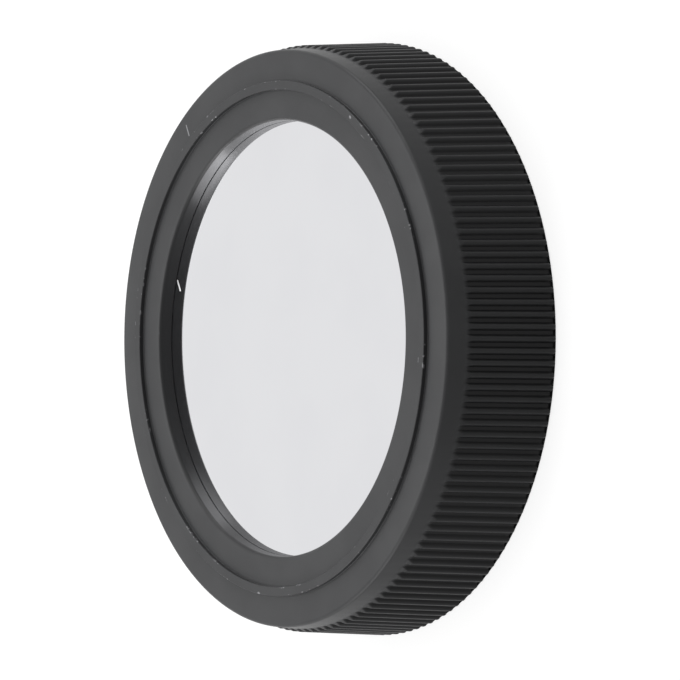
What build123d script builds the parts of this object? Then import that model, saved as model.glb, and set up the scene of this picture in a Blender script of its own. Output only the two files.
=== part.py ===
from build123d import *
import os
from math import cos, pi, radians, sin

os.makedirs("parts", exist_ok=True)

# Push-on solar filter: a turned cell with a ridged grip holds a coated glass disc near its front face.
# All sizes are in millimetres. The rear rim stands on z = 0, the optical axis is Z, the front face looks up.

# Depths along the axis
overall_depth = 14.6
seat_depth = 2.35
glass_thickness = 2.0
gasket_thickness = 0.5
retainer_thickness = 2.2
retainer_recess = 0.55

# Radii, from the light path outwards
clear_radius = 25.2
seat_overlap = 0.8
glass_clearance = 0.15
gasket_width = 1.1
thread_shoulder = 1.35
thread_clearance = 0.1
retainer_width = 2.2
socket_shoulder = 4.0
socket_wall = 2.5
felt_thickness = 1.4
glue_gap = 0.1

# Front face
bore_chamfer = 0.3
flange_width = 3.15
groove_width = 1.1
groove_depth = 0.5
flange_edge_round = 0.25

# Collar and ridged grip
flange_setback = 1.45
collar_setback = 1.05
collar_depth = 2.6
ridge_front_setback = 0.5
ridge_runout = 0.95
ridge_pitch = 1.39
ridge_depth = 0.5
ridge_land_share = 0.35
root_margin = 0.04
rim_chamfer = 0.4

# Rear socket
socket_mouth_chamfer = 0.5
felt_inset = 1.0
felt_joint_gap = 1.2

# Spanner slots of the retaining ring
spanner_slot_width = 1.4
spanner_slot_depth = 1.0
retainer_edge_chamfer = 0.2

# Sizes that follow from the ones above
glass_radius = clear_radius + seat_overlap
pocket_radius = glass_radius + glass_clearance
thread_radius = pocket_radius + thread_shoulder
retainer_radius = thread_radius - thread_clearance
retainer_bore_radius = retainer_radius - retainer_width
socket_radius = thread_radius + socket_shoulder
felt_radius = socket_radius - glue_gap
tube_radius = felt_radius - felt_thickness
tip_radius = socket_radius + socket_wall + ridge_depth
flange_radius = tip_radius - flange_setback
collar_radius = tip_radius - collar_setback
tip_front_radius = tip_radius - ridge_front_setback
groove_outer_radius = flange_radius - flange_width
groove_inner_radius = groove_outer_radius - groove_width

front_z = overall_depth
seat_z = front_z - seat_depth
glass_back_z = seat_z - glass_thickness
retainer_front_z = glass_back_z - gasket_thickness
retainer_back_z = retainer_front_z - retainer_thickness
socket_floor_z = retainer_back_z - retainer_recess
pocket_end_z = glass_back_z - gasket_thickness / 2
collar_end_z = front_z - collar_depth
ridge_full_z = collar_end_z - ridge_runout


def turned(outline):
    """Solid of revolution about Z from a closed outline drawn as (radius, height)."""
    return revolve(Plane.XZ * make_face(outline), Axis.Z)


def turned_band(inner_radius, outer_radius, low_z, high_z, chamfer_size=0.0):
    """Plain ring, with its four turned edges broken by a chamfer where one is given."""
    section = Circle(outer_radius) - Circle(inner_radius)
    band = Pos(0, 0, low_z) * extrude(section, high_z - low_z)
    if chamfer_size:
        band = chamfer(band.edges().filter_by(GeomType.CIRCLE), chamfer_size)
    return band


def cell_front_outline():
    """Front face from the seat's edge out to the end of the smooth collar."""
    groove_middle = (groove_inner_radius + groove_outer_radius) / 2
    round_in = flange_edge_round * (1 - sin(radians(45)))
    bore = Polyline(
        (clear_radius, seat_z),
        (clear_radius, front_z - bore_chamfer),
        (clear_radius + bore_chamfer, front_z),
        (groove_inner_radius, front_z),
    )
    groove = ThreePointArc(
        (groove_inner_radius, front_z),
        (groove_middle, front_z - groove_depth),
        (groove_outer_radius, front_z),
    )
    flange = Line((groove_outer_radius, front_z), (flange_radius - flange_edge_round, front_z))
    flange_edge = ThreePointArc(
        (flange_radius - flange_edge_round, front_z),
        (flange_radius - round_in, front_z - round_in),
        (flange_radius, front_z - flange_edge_round),
    )
    collar = Line((flange_radius, front_z - flange_edge_round), (collar_radius, collar_end_z))
    return bore + groove + flange + flange_edge + collar


def cell_rear_outline():
    """Ridge tips, rear rim, socket, thread bore and glass pocket, back to the seat's edge."""
    return Polyline(
        (collar_radius, collar_end_z),
        (tip_front_radius, ridge_full_z),
        (tip_radius, rim_chamfer),
        (tip_radius - rim_chamfer, 0),
        (socket_radius + socket_mouth_chamfer, 0),
        (socket_radius, socket_mouth_chamfer),
        (socket_radius, socket_floor_z),
        (thread_radius, socket_floor_z),
        (thread_radius, pocket_end_z),
        (pocket_radius, pocket_end_z),
        (pocket_radius, seat_z),
        (clear_radius, seat_z),
    )


def ridge_outline(root_radius):
    """Star whose notches are the valleys between the ridges. Its points lie outside the ridge tips."""
    count = round(2 * pi * tip_radius / ridge_pitch)
    step = 2 * pi / count
    valley_share = 1 - ridge_land_share
    valley_half_width = valley_share * step / 2 * root_radius
    rise = ridge_depth / valley_half_width
    point_radius = root_radius + rise * step / 2 * root_radius
    corners = []
    for index in range(count):
        angle = index * step
        corners.append((root_radius * cos(angle), root_radius * sin(angle)))
        corners.append((point_radius * cos(angle + step / 2), point_radius * sin(angle + step / 2)))
    return make_face(Polyline(*corners, close=True))


def ridge_envelope():
    """Tapered star that cuts the valleys. It narrows towards the front as the ridge tips do."""
    taper = ridge_front_setback / (ridge_full_z - rim_chamfer)
    root_low = tip_radius - ridge_depth + taper * rim_chamfer
    root_high = root_low - taper * front_z
    margin = max(0.0, collar_radius + root_margin - (root_low - taper * collar_end_z))
    low = ridge_outline(root_low + margin)
    high = Pos(0, 0, front_z + 1) * scale(low, (root_high + margin - taper) / (root_low + margin))
    return loft([low, high], ruled=True)


def make_cell():
    body = turned(cell_front_outline() + cell_rear_outline())
    return body & ridge_envelope()


def make_filter_glass():
    """Flat disc with its coated face against the seat."""
    return Pos(0, 0, glass_back_z) * extrude(Circle(glass_radius), glass_thickness)


def make_glass_gasket():
    return turned_band(glass_radius - gasket_width, glass_radius, retainer_front_z, glass_back_z)


def make_retaining_ring():
    """Threaded ring with two spanner slots across its rear face."""
    low_z, high_z = retainer_back_z, retainer_front_z
    ring = turned_band(retainer_bore_radius, retainer_radius, low_z, high_z, retainer_edge_chamfer)
    slot_height = 2 * spanner_slot_depth
    slot = Box(2 * retainer_radius + 2, spanner_slot_width, slot_height)
    return ring - Pos(0, 0, retainer_back_z) * slot


def make_felt_liner():
    """Felt strip bent round inside the socket, with a small gap where its two ends meet."""
    liner = turned_band(tube_radius, felt_radius, felt_inset, socket_floor_z)
    middle = (tube_radius + felt_radius) / 2
    gap = Pos(0, middle, socket_floor_z / 2) * Box(felt_joint_gap, 2 * felt_thickness, socket_floor_z * 2)
    return liner - gap


pieces = {
    "cell": make_cell,
    "filter_glass": make_filter_glass,
    "glass_gasket": make_glass_gasket,
    "retaining_ring": make_retaining_ring,
    "felt_liner": make_felt_liner,
}

for name, make in pieces.items():
    shape = make()
    export_step(shape, f"parts/{name}.step")
    print(name, "volume", round(shape.volume, 1))
print("tube radius", round(tube_radius, 3), "over the ridges", round(2 * tip_radius, 3))
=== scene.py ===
from math import atan2, cos, hypot, pi, radians, sin

import bmesh
import bpy
from mathutils import Matrix, Vector


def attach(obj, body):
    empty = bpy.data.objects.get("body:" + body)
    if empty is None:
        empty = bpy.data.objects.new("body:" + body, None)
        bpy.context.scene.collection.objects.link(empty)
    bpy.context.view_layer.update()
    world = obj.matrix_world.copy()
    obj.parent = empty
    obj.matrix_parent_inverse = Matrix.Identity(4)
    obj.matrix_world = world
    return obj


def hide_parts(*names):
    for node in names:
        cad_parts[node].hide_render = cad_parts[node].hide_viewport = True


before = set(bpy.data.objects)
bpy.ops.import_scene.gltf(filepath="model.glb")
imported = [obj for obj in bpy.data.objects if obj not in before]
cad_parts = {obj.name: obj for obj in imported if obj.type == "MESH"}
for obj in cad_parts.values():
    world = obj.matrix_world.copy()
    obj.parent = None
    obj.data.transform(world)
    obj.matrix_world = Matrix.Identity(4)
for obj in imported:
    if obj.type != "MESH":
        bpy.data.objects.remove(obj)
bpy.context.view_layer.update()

# Sizes are in millimetres: heights from the rear rim, radii from the optical axis
MM = 0.001
# Points nearer to each other than this are merged
WELD = 0.002

# Front face and collar of the turned cell
FRONT_Z = 14.5
SEAT_Z = 12.72
SEAT_EDGE = 0.09
LIP_RADIUS = 25.3
LIP_ROUND = 0.5
BEAD_INNER = 28.85
BEAD_OUTER = 29.9
BEAD_HEIGHT = 0.54
BEAD_EDGE = 0.06
BEAD_FOOT = 0.05
FLANGE_RADIUS = 33.55
FLANGE_FALL = 0.06
FLANGE_ROUND = 0.5
COLLAR_RADIUS = 33.75
COLLAR_FALL = 0.04
COLLAR_FALL_Z = 12.3
COLLAR_END_Z = 12.0

# Ridged grip: rounded ridges whose front ends are turned down to a sloping shoulder behind the collar
RIDGE_COUNT = 156
RIDGE_FRONT_RADIUS = 34.15
RIDGE_REAR_RADIUS = 34.75
SHOULDER_END_Z = 11.25
SHOULDER_SHARES = (0, 0.12, 0.3, 0.5, 0.68, 0.85, 1)
GRIP_ROWS = (7.4, 3.8)
RIM_EDGE = 0.4
VALLEY_DEPTH = 0.38
# Section of one ridge: share of the pitch from its middle, and share of the valley's depth there
RIDGE_SECTION = ((0.06, 0.0), (0.14, 0.15), (0.22, 0.5), (0.35, 1.0))
shoulder_heights = [COLLAR_END_Z + (SHOULDER_END_Z - COLLAR_END_Z) * share for share in SHOULDER_SHARES]
grip_heights = [*shoulder_heights, *GRIP_ROWS, RIM_EDGE]

# Rear socket, the threaded bore in its floor and the glass pocket
SOCKET_RADIUS = 31.5
SOCKET_FLOOR_Z = 7.2
SOCKET_CHAMFER = 0.5
MOUTH_BREAK = (0.05, 0.03)
THREAD_RADIUS = 27.5
# The retaining ring hides the thread in front of this height, so it is cut only up to here
THREAD_SEEN_Z = 8.4
THREAD_END_Z = 10.2
THREAD_PITCH = 0.5
THREAD_DEPTH = 0.16
POINTS_PER_THREAD = 4
POCKET_RADIUS = 26.15

# Filter glass and what holds it
GLASS_RADIUS = 26.0
GLASS_BACK_Z = 10.45
GLASS_EDGE = 0.12
GASKET_INNER = 24.9
GASKET_BACK_Z = 9.95
RETAINER_RADIUS = 27.4
RETAINER_BORE = 25.2
RETAINER_BACK_Z = 7.75
RETAINER_EDGE = 0.2
RETAINER_FLAT = 0.1
RETAINER_PLAIN_END = 0.3
SLOT_WIDTH = 1.4
SLOT_DEPTH = 1.0

# Felt strip in the socket
FELT_OUTER = 31.4
FELT_INNER = 30.0
FELT_LOW_Z = 1.0
FELT_CORNER = 0.18
FELT_ROWS = 14
FELT_JOINT = 1.2


def deselect_all():
    if bpy.context.mode != "OBJECT":
        bpy.ops.object.mode_set(mode="OBJECT")
    bpy.ops.object.select_all(action="DESELECT")


def make_active(piece):
    deselect_all()
    piece.select_set(True)
    bpy.context.view_layer.objects.active = piece


def scale_from_axis(factor):
    bpy.ops.transform.resize(value=(factor, factor, 1), center_override=(0, 0, 0))


def turn_about_axis(angle):
    """Anticlockwise seen from the front. Without a window the operator turns the other way."""
    bpy.ops.transform.rotate(value=-angle, orient_axis="Z", center_override=(0, 0, 0))


def sweep(angle, steps=1, copies=False):
    """Sweeps the selection anticlockwise about the axis, or only copies it at each step."""
    bpy.ops.mesh.spin(steps=steps, angle=-angle, dupli=copies, center=(0, 0, 0), axis=(0, 0, 1))


def weld_all():
    bpy.ops.mesh.select_all(action="SELECT")
    bpy.ops.mesh.remove_doubles(threshold=MM * WELD)


def start_outline(name, first):
    """One vertex at an outline's first point, in edit mode and ready to be extruded."""
    deselect_all()
    bpy.ops.mesh.primitive_plane_add(size=MM)
    piece = bpy.context.object
    piece.name = piece.data.name = name
    bpy.ops.object.mode_set(mode="EDIT")
    bpy.ops.mesh.select_all(action="SELECT")
    bpy.ops.mesh.merge(type="CENTER")
    bpy.ops.transform.translate(value=(first[0] * MM, 0, first[1] * MM))
    return piece


def draw_outline(name, points):
    """Closed wire outline in the XZ plane, extruded point by point."""
    piece = start_outline(name, points[0])
    for here, there in zip(points, points[1:] + points[:1]):
        step = ((there[0] - here[0]) * MM, 0, (there[1] - here[1]) * MM)
        bpy.ops.mesh.extrude_region_move(TRANSFORM_OT_translate={"value": step})
    weld_all()
    return piece


def close_turned():
    """Merges the seam of a turned mesh and points its faces outwards."""
    weld_all()
    bpy.ops.mesh.normals_make_consistent(inside=False)
    bpy.ops.object.mode_set(mode="OBJECT")


def turn_outline(name, points, steps):
    """Solid of revolution about Z."""
    piece = draw_outline(name, points)
    sweep(2 * pi, steps)
    close_turned()
    return piece


def arc_points(middle, radius, start, end, count):
    """Points along an arc, angles in degrees, both ends included."""
    turns = [radians(start + (end - start) * i / count) for i in range(count + 1)]
    return [(middle[0] + radius * cos(a), middle[1] + radius * sin(a)) for a in turns]


def thread_rows(radius, start, count):
    """Points up a threaded wall, close enough together for the thread that cut_thread sinks in."""
    return [(radius, start + i * THREAD_PITCH / POINTS_PER_THREAD) for i in range(count)]


def cut_thread(piece, radius, low, high, depth):
    """Turns a plain wall's vertices into a fine V thread by moving them along a helix."""
    same_radius = 0.01
    mesh = bmesh.new()
    mesh.from_mesh(piece.data)
    for vertex in mesh.verts:
        x, y, z = vertex.co / MM
        if abs(hypot(x, y) - radius) < same_radius and low < z < high:
            phase = (z / THREAD_PITCH - atan2(y, x) / (2 * pi)) % 1.0
            sunk = depth * (1 - abs(2 * phase - 1))
            vertex.co.x *= (radius + sunk) / radius
            vertex.co.y *= (radius + sunk) / radius
    mesh.to_mesh(piece.data)
    mesh.free()


def pick_vertices(piece, wanted):
    """Selects the vertices whose (angle, radius, height) pass a test, radius and height in millimetres."""
    mesh = bmesh.from_edit_mesh(piece.data)
    for vertex in mesh.verts:
        x, y, z = vertex.co / MM
        vertex.select_set(wanted(atan2(y, x), hypot(x, y), z))
    mesh.select_flush_mode()
    bmesh.update_edit_mesh(piece.data)


def grip_radius(height, depth=0.0):
    """Radius of a ridge at a share of its valley's depth, or of the shoulder where that is lower."""
    taper = (SHOULDER_END_Z - height) / (SHOULDER_END_Z - RIM_EDGE)
    ridge = RIDGE_FRONT_RADIUS + (RIDGE_REAR_RADIUS - RIDGE_FRONT_RADIUS) * taper - VALLEY_DEPTH * depth
    slope = (COLLAR_END_Z - height) / (COLLAR_END_Z - SHOULDER_END_Z)
    return min(ridge, COLLAR_RADIUS + (RIDGE_FRONT_RADIUS - COLLAR_RADIUS) * slope)


def bead_points():
    """Raised bead round the front face, square in section with its edges just broken."""
    top = FRONT_Z + BEAD_HEIGHT
    return [
        (BEAD_INNER - BEAD_FOOT, FRONT_Z),
        (BEAD_INNER, FRONT_Z + BEAD_FOOT),
        (BEAD_INNER, top - BEAD_EDGE),
        (BEAD_INNER + BEAD_EDGE, top),
        (BEAD_OUTER - BEAD_EDGE, top),
        (BEAD_OUTER, top - BEAD_EDGE),
        (BEAD_OUTER, FRONT_Z + BEAD_FOOT),
        (BEAD_OUTER + BEAD_FOOT, FRONT_Z),
    ]


def cell_points():
    """Section of the whole cell with the grip still plain, from the glass's seat round and back to it."""
    lip = (LIP_RADIUS + LIP_ROUND, FRONT_Z - LIP_ROUND)
    points = [(LIP_RADIUS + SEAT_EDGE, SEAT_Z), (LIP_RADIUS, SEAT_Z + SEAT_EDGE)]
    points += arc_points(lip, LIP_ROUND, 180, 90, 6)
    points += bead_points()
    # The face falls and the collar widens a little, so the rounding between them is short of a quarter
    edge = (FLANGE_RADIUS - FLANGE_ROUND, FRONT_Z - FLANGE_FALL - FLANGE_ROUND)
    points += arc_points(edge, FLANGE_ROUND, 86, 5, 6)
    points += [(COLLAR_RADIUS - COLLAR_FALL, COLLAR_FALL_Z)]
    points += [(grip_radius(height), height) for height in grip_heights]
    rim = (RIDGE_REAR_RADIUS - RIM_EDGE, RIM_EDGE)
    points += arc_points(rim, RIM_EDGE, 0, -90, 4)[1:]
    mouth_radius = SOCKET_RADIUS + SOCKET_CHAMFER
    points += [
        (mouth_radius + MOUTH_BREAK[0], 0),
        (mouth_radius, MOUTH_BREAK[1]),
        (SOCKET_RADIUS, SOCKET_CHAMFER),
        (SOCKET_RADIUS, SOCKET_FLOOR_Z),
        (THREAD_RADIUS + THREAD_DEPTH, SOCKET_FLOOR_Z),
    ]
    rows = round((THREAD_SEEN_Z - SOCKET_FLOOR_Z) / THREAD_PITCH * POINTS_PER_THREAD)
    points += thread_rows(THREAD_RADIUS, SOCKET_FLOOR_Z, rows + 1)[1:]
    points += [(THREAD_RADIUS, THREAD_END_Z)]
    points += [(POCKET_RADIUS, THREAD_END_Z), (POCKET_RADIUS, SEAT_Z)]
    return points


def shape_ridge(piece, pitch):
    """Sinks a sector's flanks to the valleys, which end where the shoulder has cut the ridges down."""
    same_height = 0.0005
    same_offset = 0.01
    outer_skin = SOCKET_RADIUS + 2
    # The rim's edge is an arc in steps of 22.5 degrees, and the valleys are sunk at its first two
    rim_heights = [RIM_EDGE * (1 - sin(radians(turn))) for turn in (22.5, 45)]
    for height in grip_heights + rim_heights:
        for offset, depth in RIDGE_SECTION:
            for side in (-1, 1):

                def on_line(angle, radius, z):
                    across = angle * side / pitch
                    here = min(abs(across - offset), abs(across + 1 - offset)) < same_offset
                    return here and abs(z - height) < same_height and radius > outer_skin

                pick_vertices(piece, on_line)
                scale_from_axis(grip_radius(height, depth) / grip_radius(height))


def make_cell():
    """One ridge and its two half valleys are shaped, then copied round the axis."""
    piece = draw_outline("cell_body", cell_points())
    pitch = 2 * pi / RIDGE_COUNT
    half = [offset for offset, _ in RIDGE_SECTION]
    columns = [half[-1] - 1] + [-offset for offset in reversed(half)] + half
    turn_about_axis(columns[0] * pitch)
    for here, there in zip(columns, columns[1:]):
        sweep((there - here) * pitch)
    shape_ridge(piece, pitch)
    bpy.ops.mesh.select_all(action="SELECT")
    sweep(2 * pi, steps=RIDGE_COUNT, copies=True)
    close_turned()
    past_corner = 0.05
    low, high = SOCKET_FLOOR_Z + past_corner, THREAD_SEEN_Z + past_corner
    cut_thread(piece, THREAD_RADIUS, low, high, THREAD_DEPTH)
    return piece


def make_filter_glass():
    """Flat disc with its rim edges broken."""
    points = [
        (0, GLASS_BACK_Z),
        (GLASS_RADIUS - GLASS_EDGE, GLASS_BACK_Z),
        (GLASS_RADIUS, GLASS_BACK_Z + GLASS_EDGE),
        (GLASS_RADIUS, SEAT_Z - GLASS_EDGE),
        (GLASS_RADIUS - GLASS_EDGE, SEAT_Z),
        (0, SEAT_Z),
    ]
    return turn_outline("filter_disc", points, steps=360)


def make_gasket():
    """Soft ring, a little rounded where the glass and the clamping ring squeeze it out."""
    inner_edge, outer_edge, bulge, bulge_half = 0.12, 0.1, 0.03, 0.15
    middle = (GASKET_BACK_Z + GLASS_BACK_Z) / 2
    points = [
        (GASKET_INNER + inner_edge, GASKET_BACK_Z),
        (GLASS_RADIUS - outer_edge, GASKET_BACK_Z),
        (GLASS_RADIUS, middle),
        (GLASS_RADIUS - outer_edge, GLASS_BACK_Z),
        (GASKET_INNER + inner_edge, GLASS_BACK_Z),
        (GASKET_INNER + bulge, middle + bulge_half),
        (GASKET_INNER, middle),
        (GASKET_INNER + bulge, middle - bulge_half),
    ]
    return turn_outline("gasket_ring", points, steps=240)


def cut_spanner_slots(piece):
    """Cuts one bar across the ring's rear face, which leaves a slot on each side."""
    deselect_all()
    bpy.ops.mesh.primitive_cube_add(size=1, location=(0, 0, RETAINER_BACK_Z * MM))
    cutter = bpy.context.object
    past_ring = 60 * MM
    bpy.ops.transform.resize(value=(past_ring, SLOT_WIDTH * MM, 2 * SLOT_DEPTH * MM))
    bpy.ops.object.transform_apply(location=True, rotation=True, scale=True)
    make_active(piece)
    slots = piece.modifiers.new("spanner_slots", "BOOLEAN")
    slots.operation = "DIFFERENCE"
    slots.solver = "EXACT"
    slots.object = cutter
    bpy.ops.object.modifier_apply(modifier=slots.name)
    bpy.data.objects.remove(cutter, do_unlink=True)


def make_retaining_ring():
    """Threaded ring with two slots for a pin spanner."""
    low, high = RETAINER_BACK_Z, GASKET_BACK_Z
    face_radius = RETAINER_RADIUS - RETAINER_EDGE - RETAINER_FLAT
    rows = int((high - low - 2 * RETAINER_EDGE) / THREAD_PITCH * POINTS_PER_THREAD)
    points = [
        (RETAINER_BORE, low + RETAINER_EDGE),
        (RETAINER_BORE + RETAINER_EDGE, low),
        (face_radius, low),
    ]
    points += thread_rows(RETAINER_RADIUS, low + RETAINER_EDGE, rows + 1)
    points += [
        (face_radius, high),
        (RETAINER_BORE + RETAINER_EDGE, high),
        (RETAINER_BORE, high - RETAINER_EDGE),
    ]
    piece = turn_outline("threaded_retaining_ring", points, steps=360)
    thread_low, thread_high = low + RETAINER_PLAIN_END, high - RETAINER_PLAIN_END
    cut_thread(piece, RETAINER_RADIUS, thread_low, thread_high, -THREAD_DEPTH)
    cut_spanner_slots(piece)
    return piece


def make_felt():
    """Felt strip bent round inside the socket, with a gap where its two ends meet."""
    middle = (FELT_OUTER + FELT_INNER) / 2
    give, flat_half = 0.05, 0.25
    low, high = FELT_LOW_Z + FELT_CORNER, SOCKET_FLOOR_Z - FELT_CORNER
    rows = [low + (high - low) * i / FELT_ROWS for i in range(FELT_ROWS + 1)]
    points = [(FELT_INNER + give, height) for height in rows]
    points += [
        (FELT_INNER + FELT_CORNER, SOCKET_FLOOR_Z),
        (middle, SOCKET_FLOOR_Z),
        (FELT_OUTER - FELT_CORNER, SOCKET_FLOOR_Z),
    ]
    points += [(FELT_OUTER, height) for height in reversed(rows)]
    points += [
        (FELT_OUTER - FELT_CORNER, FELT_LOW_Z),
        (middle + flat_half, FELT_LOW_Z),
        (middle - flat_half, FELT_LOW_Z),
        (FELT_INNER + FELT_CORNER, FELT_LOW_Z),
    ]
    piece = draw_outline("felt_strip", points)
    bpy.ops.mesh.edge_face_add()
    gap = FELT_JOINT / middle
    turn_about_axis(pi / 2 + gap / 2)
    sweep(2 * pi - gap, steps=900)
    bpy.ops.mesh.select_all(action="SELECT")
    bpy.ops.mesh.normals_make_consistent(inside=False)
    bpy.ops.object.mode_set(mode="OBJECT")
    return piece


cell_body = make_cell()
filter_disc = make_filter_glass()
gasket_ring = make_gasket()
retaining_ring = make_retaining_ring()
felt_strip = make_felt()


def paint(piece, material, smooth_angle):
    """Gives a piece its material and smooths it where its faces meet at less than the given angle."""
    make_active(piece)
    piece.data.materials.clear()
    piece.data.materials.append(material)
    bpy.ops.object.shade_smooth_by_angle(angle=radians(smooth_angle))


def colour(red, green, blue):
    return (red, green, blue, 1.0)


def grey(value):
    return colour(value, value, value)


class Nodes:
    """Short calls for building the nodes of a world or a material."""

    def __init__(self, tree):
        self.tree = tree

    def add(self, kind, **settings):
        node = self.tree.nodes.new("ShaderNode" + kind)
        for key, value in settings.items():
            setattr(node, key, value)
        return node

    def join(self, source, target):
        self.tree.links.new(source, target)

    def fill(self, socket, value):
        if isinstance(value, bpy.types.NodeSocket):
            self.join(value, socket)
        else:
            socket.default_value = value

    def feed(self, node, values):
        """Fills a node's inputs by name, with a plain value or with another node's output."""
        for name, value in values.items():
            self.fill(node.inputs[name], value)

    def math(self, operation, *values, clamp=False):
        node = self.add("Math", operation=operation, use_clamp=clamp)
        for socket, value in zip(node.inputs, values):
            self.fill(socket, value)
        return node.outputs[0]

    def product(self, first, *others):
        for other in others:
            first = self.math("MULTIPLY", first, other)
        return first

    def largest(self, first, *others):
        for other in others:
            first = self.math("MAXIMUM", first, other)
        return first

    def seen_rays(self):
        """One for camera, mirror and glass rays, and nothing for all other light."""
        rays = self.add("LightPath").outputs
        kinds = ("Is Camera Ray", "Is Glossy Ray", "Is Transmission Ray")
        return self.largest(*(rays[kind] for kind in kinds))

    def blend(self, share, first, second):
        """Shader that goes from the first node's to the second node's as the share goes from 0 to 1."""
        node = self.add("MixShader")
        self.join(share, node.inputs[0])
        self.join(first.outputs[0], node.inputs[1])
        self.join(second.outputs[0], node.inputs[2])
        return node.outputs[0]


class MaterialNodes(Nodes):
    """The same for a new material, with its main shader and the place on the object."""

    def __init__(self, name):
        self.material = bpy.data.materials.new(name)
        self.material.use_nodes = True
        super().__init__(self.material.node_tree)
        self.shader = self.tree.nodes["Principled BSDF"]
        self.surface = self.tree.nodes["Material Output"].inputs["Surface"]
        self.place = self.add("TexCoord").outputs["Object"]

    def band(self, value, low, high, low_out=0.0, high_out=1.0, smooth=True):
        """Maps a value from low..high to low_out..high_out, held at the ends."""
        node = self.add("MapRange", interpolation_type="SMOOTHSTEP" if smooth else "LINEAR")
        self.feed(node, {
            "Value": value,
            "From Min": low,
            "From Max": high,
            "To Min": low_out,
            "To Max": high_out,
        })
        return node.outputs["Result"]

    def noise(self, scale, detail=2.0, roughness=0.5):
        node = self.add("TexNoise")
        self.feed(node, {"Vector": self.place, "Scale": scale, "Detail": detail, "Roughness": roughness})
        return node.outputs["Fac"]

    def mix(self, share, first, second):
        node = self.add("Mix", data_type="RGBA")
        self.feed(node, {"Factor": share, "A": first, "B": second})
        return node.outputs["Result"]

    def bump(self, height, strength, distance, normal=None):
        node = self.add("Bump")
        self.feed(node, {"Height": height, "Strength": strength, "Distance": distance})
        if normal is not None:
            self.join(normal, node.inputs["Normal"])
        return node.outputs["Normal"]

    def vector_math(self, operation, *values):
        node = self.add("VectorMath", operation=operation)
        for socket, value in zip(node.inputs, values):
            self.fill(socket, value)
        return node.outputs["Value"] if operation in ("LENGTH", "DOT_PRODUCT") else node.outputs[0]

    def stroke(self, start, end, width):
        """One on a straight mark between two points in millimetres, falling to nothing past its width."""
        along = tuple((b - a) * MM for a, b in zip(start, end))
        reach = sum(step * step for step in along)
        away = self.vector_math("SUBTRACT", self.place, tuple(value * MM for value in start))
        share = self.math("DIVIDE", self.vector_math("DOT_PRODUCT", away, along), reach, clamp=True)
        nearest = self.add("VectorMath", operation="SCALE")
        nearest.inputs[0].default_value = along
        self.join(share, nearest.inputs["Scale"])
        miss = self.vector_math("LENGTH", self.vector_math("SUBTRACT", away, nearest.outputs[0]))
        return self.band(miss, width * MM, width * MM * 0.4)


def bead_specks(m, radius, height):
    """Bare metal where the sharp edges of the raised bead are nicked, in patches."""
    top = FRONT_Z + BEAD_HEIGHT
    near = [
        m.band(m.math("ABSOLUTE", m.math("SUBTRACT", radius, edge * MM)), 0.2 * MM, 0.05 * MM)
        for edge in (BEAD_INNER, BEAD_OUTER)
    ]
    on_edge = m.product(m.largest(*near), m.band(height, (top - 0.3) * MM, (top - 0.12) * MM))
    patches = m.band(m.noise(140, detail=1), 0.5, 0.62)
    nicks = m.band(m.noise(1700, detail=1), 0.6, 0.7)
    return m.product(on_edge, patches, nicks)


def handling_marks(m):
    """Marks in the photograph: a scratch on the face, two nicks in the bead and two specks on the lip."""
    face = FRONT_Z
    bead = FRONT_Z + BEAD_HEIGHT
    lip = FRONT_Z - 0.2
    return m.largest(
        m.stroke((25.3, 19.7, face), (24.1, 19.05, face), 0.12),
        m.stroke((-29.7, 3.05, bead), (-29.72, 2.95, bead), 0.26),
        m.stroke((25.25, -15.2, bead), (25.15, -15.3, bead), 0.2),
        m.stroke((3.6, 25.6, lip), (3.3, 25.6, lip), 0.14),
        m.stroke((0.9, 25.6, lip), (0.5, 25.6, lip), 0.16),
    )


def grip_shares(m, radius, height):
    """Masks for the grip's painted shade: one in the grip's valleys and nothing on its ridges, then one
    all over the grip.
    """
    slope = (RIDGE_REAR_RADIUS - RIDGE_FRONT_RADIUS) / (SHOULDER_END_Z - RIM_EDGE)
    crest = (RIDGE_FRONT_RADIUS + slope * SHOULDER_END_Z) * MM
    over_ridges = m.math("SUBTRACT", crest, m.product(height, slope))
    depth = m.math("SUBTRACT", over_ridges, radius)
    sunk = m.band(depth, 0.04 * MM, 0.3 * MM)
    on_grip = m.band(height, COLLAR_END_Z * MM, SHOULDER_END_Z * MM)
    outside = m.band(radius, (COLLAR_RADIUS - 0.55) * MM, (COLLAR_RADIUS - 0.35) * MM)
    return m.product(sunk, on_grip, outside), m.product(on_grip, outside)


def turning_marks(m, radius, grain):
    """Faint rings left by the lathe, under the grain of the blasted and anodised skin."""
    rings = m.add("TexNoise", noise_dimensions="1D")
    m.feed(rings, {"W": radius, "Scale": 9000, "Detail": 1})
    normal = m.bump(rings.outputs["Fac"], 0.25, 0.01 * MM)
    return m.bump(grain, 0.35, 0.01 * MM, normal)


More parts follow.
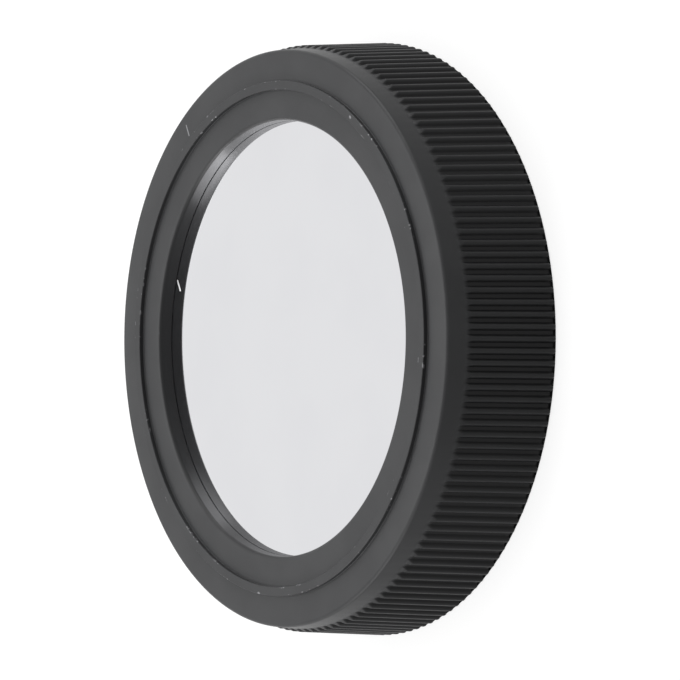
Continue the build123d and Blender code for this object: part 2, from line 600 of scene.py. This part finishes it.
def anodised_aluminium():
    """Satin black anodising on turned aluminium, with painted shade on the grip and in the bore. The bore
    is finer turned, so it gleams at a low angle; that gleam is a painted highlight kept to the bore's
    upper side.
    """
    m = MaterialNodes("satin_black_anodised")
    parts = m.add("SeparateXYZ")
    m.join(m.place, parts.inputs[0])
    x, y, height = parts.outputs
    radius = m.math("SQRT", m.math("ADD", m.product(x, x), m.product(y, y)))
    cloud = m.noise(180, detail=3)
    grain = m.noise(9000, detail=2)
    normal = turning_marks(m, radius, grain)
    valley, grip = grip_shares(m, radius, height)
    in_bore = m.product(
        m.band(radius, (LIP_RADIUS + 0.3) * MM, (LIP_RADIUS + 0.1) * MM),
        m.band(height, (SEAT_Z - 0.72) * MM, (SEAT_Z - 0.22) * MM),
    )
    bare = m.largest(bead_specks(m, radius, height), handling_marks(m))

    base = m.mix(m.band(cloud, 0.3, 0.7), colour(0.038, 0.0385, 0.040), colour(0.044, 0.0445, 0.046))
    # Painted shade: the grip is darkened all over, and its valleys further, for the weaker light on its
    # sides and deep in its grooves
    base = m.mix(m.product(grip, 0.42), base, colour(0.012, 0.012, 0.0125))
    base = m.mix(m.product(valley, 0.85), base, colour(0.006, 0.006, 0.0065))
    # Painted shade: the bore wall under the lip is darkened, where less light reaches it
    base = m.mix(m.product(in_bore, 0.75), base, colour(0.008, 0.008, 0.0085))
    m.feed(m.shader, {
        "Base Color": m.mix(bare, base, colour(0.26, 0.26, 0.27)),
        "Roughness": m.band(grain, 0.3, 0.7, 0.36, 0.46, smooth=False),
        "Specular IOR Level": m.band(grip, 0.0, 1.0, 0.18, 0.15),
        "Normal": normal,
    })

    low_angle = m.add("LayerWeight")
    low_angle.inputs["Blend"].default_value = 0.5
    gloss = m.math("MINIMUM", m.math("POWER", low_angle.outputs["Facing"], 3.0), 0.42)
    # Painted highlight: the sheen is faded out on the bore's lower side, because the light comes from
    # above
    upper_side = m.band(x, -12 * MM, 10 * MM, 0.22, 1.0)
    sheen = m.add("BsdfGlossy")
    m.feed(sheen, {"Color": colour(0.9, 0.9, 0.91), "Roughness": 0.2, "Normal": normal})
    m.join(m.blend(m.product(gloss, upper_side, in_bore, 0.8), m.shader, sheen), m.surface)
    return m.material


def coated_glass():
    """Metal coating on polished glass, as bright as a mirror, with faint wipe marks and a lint fibre."""
    m = MaterialNodes("mirror_coated_glass")
    haze = m.noise(90, detail=3)
    bright, dull = colour(0.752, 0.754, 0.772), colour(0.738, 0.740, 0.760)
    coat = m.mix(m.band(haze, 0.35, 0.7), bright, dull)
    lint = m.stroke((6.9, 24.1, SEAT_Z), (5.75, 23.5, SEAT_Z), 0.16)
    m.feed(m.shader, {
        "Base Color": m.mix(lint, coat, grey(0.9)),
        "Metallic": m.math("SUBTRACT", 1.0, lint),
        "Roughness": m.largest(lint, m.band(haze, 0.3, 0.75, 0.02, 0.05)),
    })
    return m.material


def gasket_rubber():
    m = MaterialNodes("black_gasket_rubber")
    grain = m.noise(4000, detail=2)
    m.feed(m.shader, {
        "Base Color": m.mix(grain, colour(0.016, 0.016, 0.017), colour(0.03, 0.03, 0.031)),
        "Roughness": 0.7,
        "Normal": m.bump(grain, 0.4, 0.02 * MM),
    })
    return m.material


def wool_felt():
    """Dense black felt with lighter fibres lying in all directions."""
    m = MaterialNodes("black_wool_felt")
    fibres = m.noise(2500, detail=6, roughness=0.75)
    dark, light = colour(0.010, 0.010, 0.011), colour(0.045, 0.045, 0.048)
    m.feed(m.shader, {
        "Base Color": m.mix(m.band(fibres, 0.4, 0.68), dark, light),
        "Roughness": 0.95,
        "Specular IOR Level": 0.15,
        "Sheen Weight": 0.25,
        "Sheen Roughness": 0.5,
        "Normal": m.bump(fibres, 0.9, 0.1 * MM),
    })
    return m.material


black_metal = anodised_aluminium()
paint(cell_body, black_metal, 28)
paint(retaining_ring, black_metal, 28)
paint(filter_disc, coated_glass(), 28)
paint(gasket_ring, gasket_rubber(), 40)
paint(felt_strip, wool_felt(), 60)

for piece, node, material_slot in (
    (cell_body, "cell", "anodised_aluminium"),
    (filter_disc, "filter_glass", "coated_glass"),
    (gasket_ring, "glass_gasket", "gasket_rubber"),
    (retaining_ring, "retaining_ring", "anodised_aluminium"),
    (felt_strip, "felt_liner", "felt"),
):
    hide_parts(node)
    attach(piece, "root")


def make_world():
    """White surroundings for what is seen, and soft even light for what is lit."""
    world = bpy.data.worlds.new("soft_studio")
    bpy.context.scene.world = world
    world.use_nodes = True
    w = Nodes(world.node_tree)
    plain = w.tree.nodes["Background"]
    w.feed(plain, {"Color": grey(1), "Strength": 0.25})
    white = w.add("Background")
    w.feed(white, {"Color": grey(1), "Strength": 1.0})
    shown = w.blend(w.seen_rays(), plain, white)
    w.join(shown, w.tree.nodes["World Output"].inputs["Surface"])


def floor_paper():
    """Pale paper that looks white and keeps a soft shadow. It throws little light back on the object."""
    m = MaterialNodes("pale_paper")
    m.feed(m.shader, {"Base Color": grey(0.3), "Roughness": 0.9, "Specular IOR Level": 0.1})
    white = m.add("Emission")
    white.inputs["Strength"].default_value = 0.8
    paper = m.add("BsdfDiffuse")
    paper.inputs["Color"].default_value = grey(0.25)
    seen = m.add("AddShader")
    m.join(white.outputs[0], seen.inputs[0])
    m.join(paper.outputs[0], seen.inputs[1])
    m.join(m.blend(m.seen_rays(), m.shader, seen), m.surface)
    return m.material


def make_floor():
    deselect_all()
    bpy.ops.mesh.primitive_plane_add(size=6)
    floor = bpy.context.object
    floor.name = "floor"
    floor.data.materials.append(floor_paper())


def make_softbox(name, place, size, power):
    """Square area lamp that looks at the middle of the filter."""
    lamp = bpy.data.lights.new(name, "AREA")
    lamp.shape = "RECTANGLE"
    lamp.size, lamp.size_y = size
    lamp.energy = power
    holder = bpy.data.objects.new(name, lamp)
    bpy.context.scene.collection.objects.link(holder)
    holder.location = place
    middle = Vector((0, 0, 0.007))
    holder.rotation_euler = (middle - Vector(place)).to_track_quat("-Z", "Y").to_euler()


def make_camera():
    """The photograph's view: from 35 degrees over the floor, with +X up in the picture."""
    focal_pixels = 6000
    picture_pixels = 680
    axis_angle = 0.9656
    tilt = 0.0052
    # The front face's centre and the optical axis as the photograph has them: right, down, away
    centre = Vector((-7.2, -0.19, 696.46)) * MM
    inward = Vector((sin(axis_angle) * cos(tilt), sin(tilt), cos(axis_angle) * cos(tilt)))
    across = Vector((cos(axis_angle), 0, -sin(axis_angle)))
    down = inward.cross(across)
    data = bpy.data.cameras.new("photo_view")
    data.sensor_width = 36
    data.lens = focal_pixels / picture_pixels * data.sensor_width
    data.clip_start = 0.01
    camera = bpy.data.objects.new("photo_view", data)
    bpy.context.scene.collection.objects.link(camera)
    place = Vector((centre.dot(down), centre.dot(across), centre.dot(inward) + FRONT_Z * MM))
    camera.matrix_world = Matrix((
        (-down.x, down.y, down.z, place.x),
        (-across.x, across.y, across.z, place.y),
        (-inward.x, inward.y, inward.z, place.z),
        (0, 0, 0, 1),
    ))
    bpy.context.scene.camera = camera


make_world()
make_floor()
# The lamps' places and sizes are in metres
make_softbox("overhead_softbox", (0, 0.25, 0.9), (0.9, 0.9), 7.5)
make_softbox("side_softbox_left", (-0.8, 0.1, 0.35), (0.5, 0.5), 3.4)
make_softbox("side_softbox_right", (0.8, 0.1, 0.35), (0.5, 0.5), 3.4)
make_camera()
bpy.context.scene.view_settings.view_transform = "Standard"
